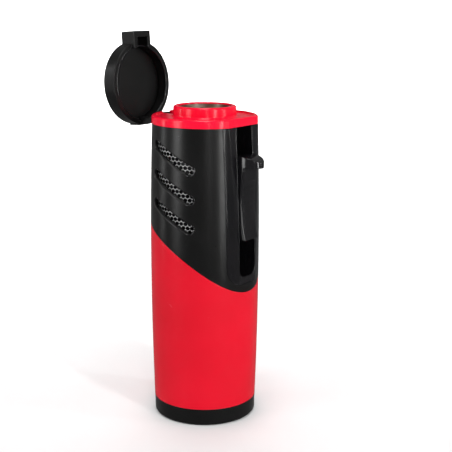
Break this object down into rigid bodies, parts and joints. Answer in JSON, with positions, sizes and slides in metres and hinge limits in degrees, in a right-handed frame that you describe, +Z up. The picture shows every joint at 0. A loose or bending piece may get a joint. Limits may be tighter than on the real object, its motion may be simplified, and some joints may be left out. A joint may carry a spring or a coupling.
{
  "type": "triple-jet butane torch lighter",
  "caption": "Pocket butane torch lighter with a side thumb slide, hinged dust cap, ringed burner mouth, slanted mesh vents and refillable base.",
  "frame": {"origin": "centre of the flat foot that the lighter stands on, on the axis of its round body", "axes": "+Z up along the body, +X towards the thumb slide, -X towards the cap's hinge, -Y the side seen in front"},
  "size_m": [0.053, 0.0338, 0.1196],
  "materials": {
    "satin_black": "satin",
    "gloss_black": "gloss",
    "cap_black": "satin",
    "red_gloss": "gloss",
    "red_collar": "gloss",
    "mesh_steel": "bright",
    "steel": "brushed",
    "heat_steel": "brushed",
    "brass": "machined",
    "diecast": "cast",
    "ceramic": "glazed",
    "tank_clear": "moulded",
    "frame_grey": "moulded",
    "rubber": "matte",
    "lead_black": "matte"
  },
  "bodies": {
    "lighter_body": {"base_cap": "satin_black", "grip_shell": "red_gloss", "upper_housing": "satin_black", "trigger_bezel": "gloss_black", "collar": "red_collar", "vent_mesh_front": "mesh_steel", "vent_mesh_rear": "mesh_steel", "hinge_pin": "steel", "piezo_housing": "frame_grey", "piezo_spring": "steel", "ignition_lead": "lead_black", "chassis": "frame_grey", "chassis_screws": "steel", "burner_block": "diecast", "burner_screws": "steel", "jet_nozzle_right": "brass", "jet_nozzle_rear": "brass", "jet_nozzle_front": "brass", "jet_coils": "heat_steel", "heat_shield": "heat_steel", "spark_insulator": "ceramic", "spark_electrode": "steel", "gas_tube": "rubber", "valve_lever_pin": "steel", "outlet_valve_body": "brass", "outlet_valve_spring": "steel", "outlet_valve_seal": "rubber", "refill_valve_body": "brass", "refill_valve_spring": "steel", "fuel_tank": "tank_clear", "tank_lid": "tank_clear", "base_screws": "steel"},
    "dust_cap": {"cap_shell": "cap_black", "cap_liner": "cap_black"},
    "thumb_slide": {"trigger_button": "gloss_black", "trigger_slide": "frame_grey", "piezo_plunger": "frame_grey"},
    "gas_lever": {"valve_lever": "brass"},
    "valve_stem": {"outlet_valve_stem": "brass"},
    "adjuster_knob": {"flame_adjuster": "brass"},
    "refill_stem": {"refill_valve_stem": "brass", "refill_valve_gasket": "rubber"}
  },
  "joints": [
    {"name": "cap_hinge", "type": "hinge", "parent": "lighter_body", "child": "dust_cap", "pos_m": [-0.01594, 0, 0.08798], "axis": [0, 1, 0], "range_deg": [0, 94]},
    {"name": "slide_travel", "type": "slide", "parent": "lighter_body", "child": "thumb_slide", "axis": [0, 0, -1], "range_m": [0, 0.0055], "stiffness_N_per_m": 900, "springref_m": -0.002, "deforming": ["piezo_spring"]},
    {"name": "gas_lever_pivot", "type": "hinge", "parent": "lighter_body", "child": "gas_lever", "pos_m": [-0.003, 0, 0.058], "axis": [0, 1, 0], "range_deg": [0, 12]},
    {"name": "valve_lift", "type": "slide", "parent": "lighter_body", "child": "valve_stem", "axis": [0, 0, 1], "range_m": [0, 0.0008], "deforming": ["outlet_valve_spring"]},
    {"name": "flame_adjust", "type": "hinge", "parent": "lighter_body", "child": "adjuster_knob", "pos_m": [-0.0065, 0, 0.002], "axis": [0, 0, -1], "range_deg": [-135, 135]},
    {"name": "refill_press", "type": "slide", "parent": "lighter_body", "child": "refill_stem", "axis": [0, 0, 1], "range_m": [0, 0.0012], "stiffness_N_per_m": 400, "springref_m": -0.0015, "deforming": ["refill_valve_spring"]}
  ],
  "couplings": [
    {"joint": "gas_lever_pivot", "follows": "slide_travel", "rad_per_m": 33.3},
    {"joint": "valve_lift", "follows": "slide_travel", "ratio": 0.1145}
  ]
}
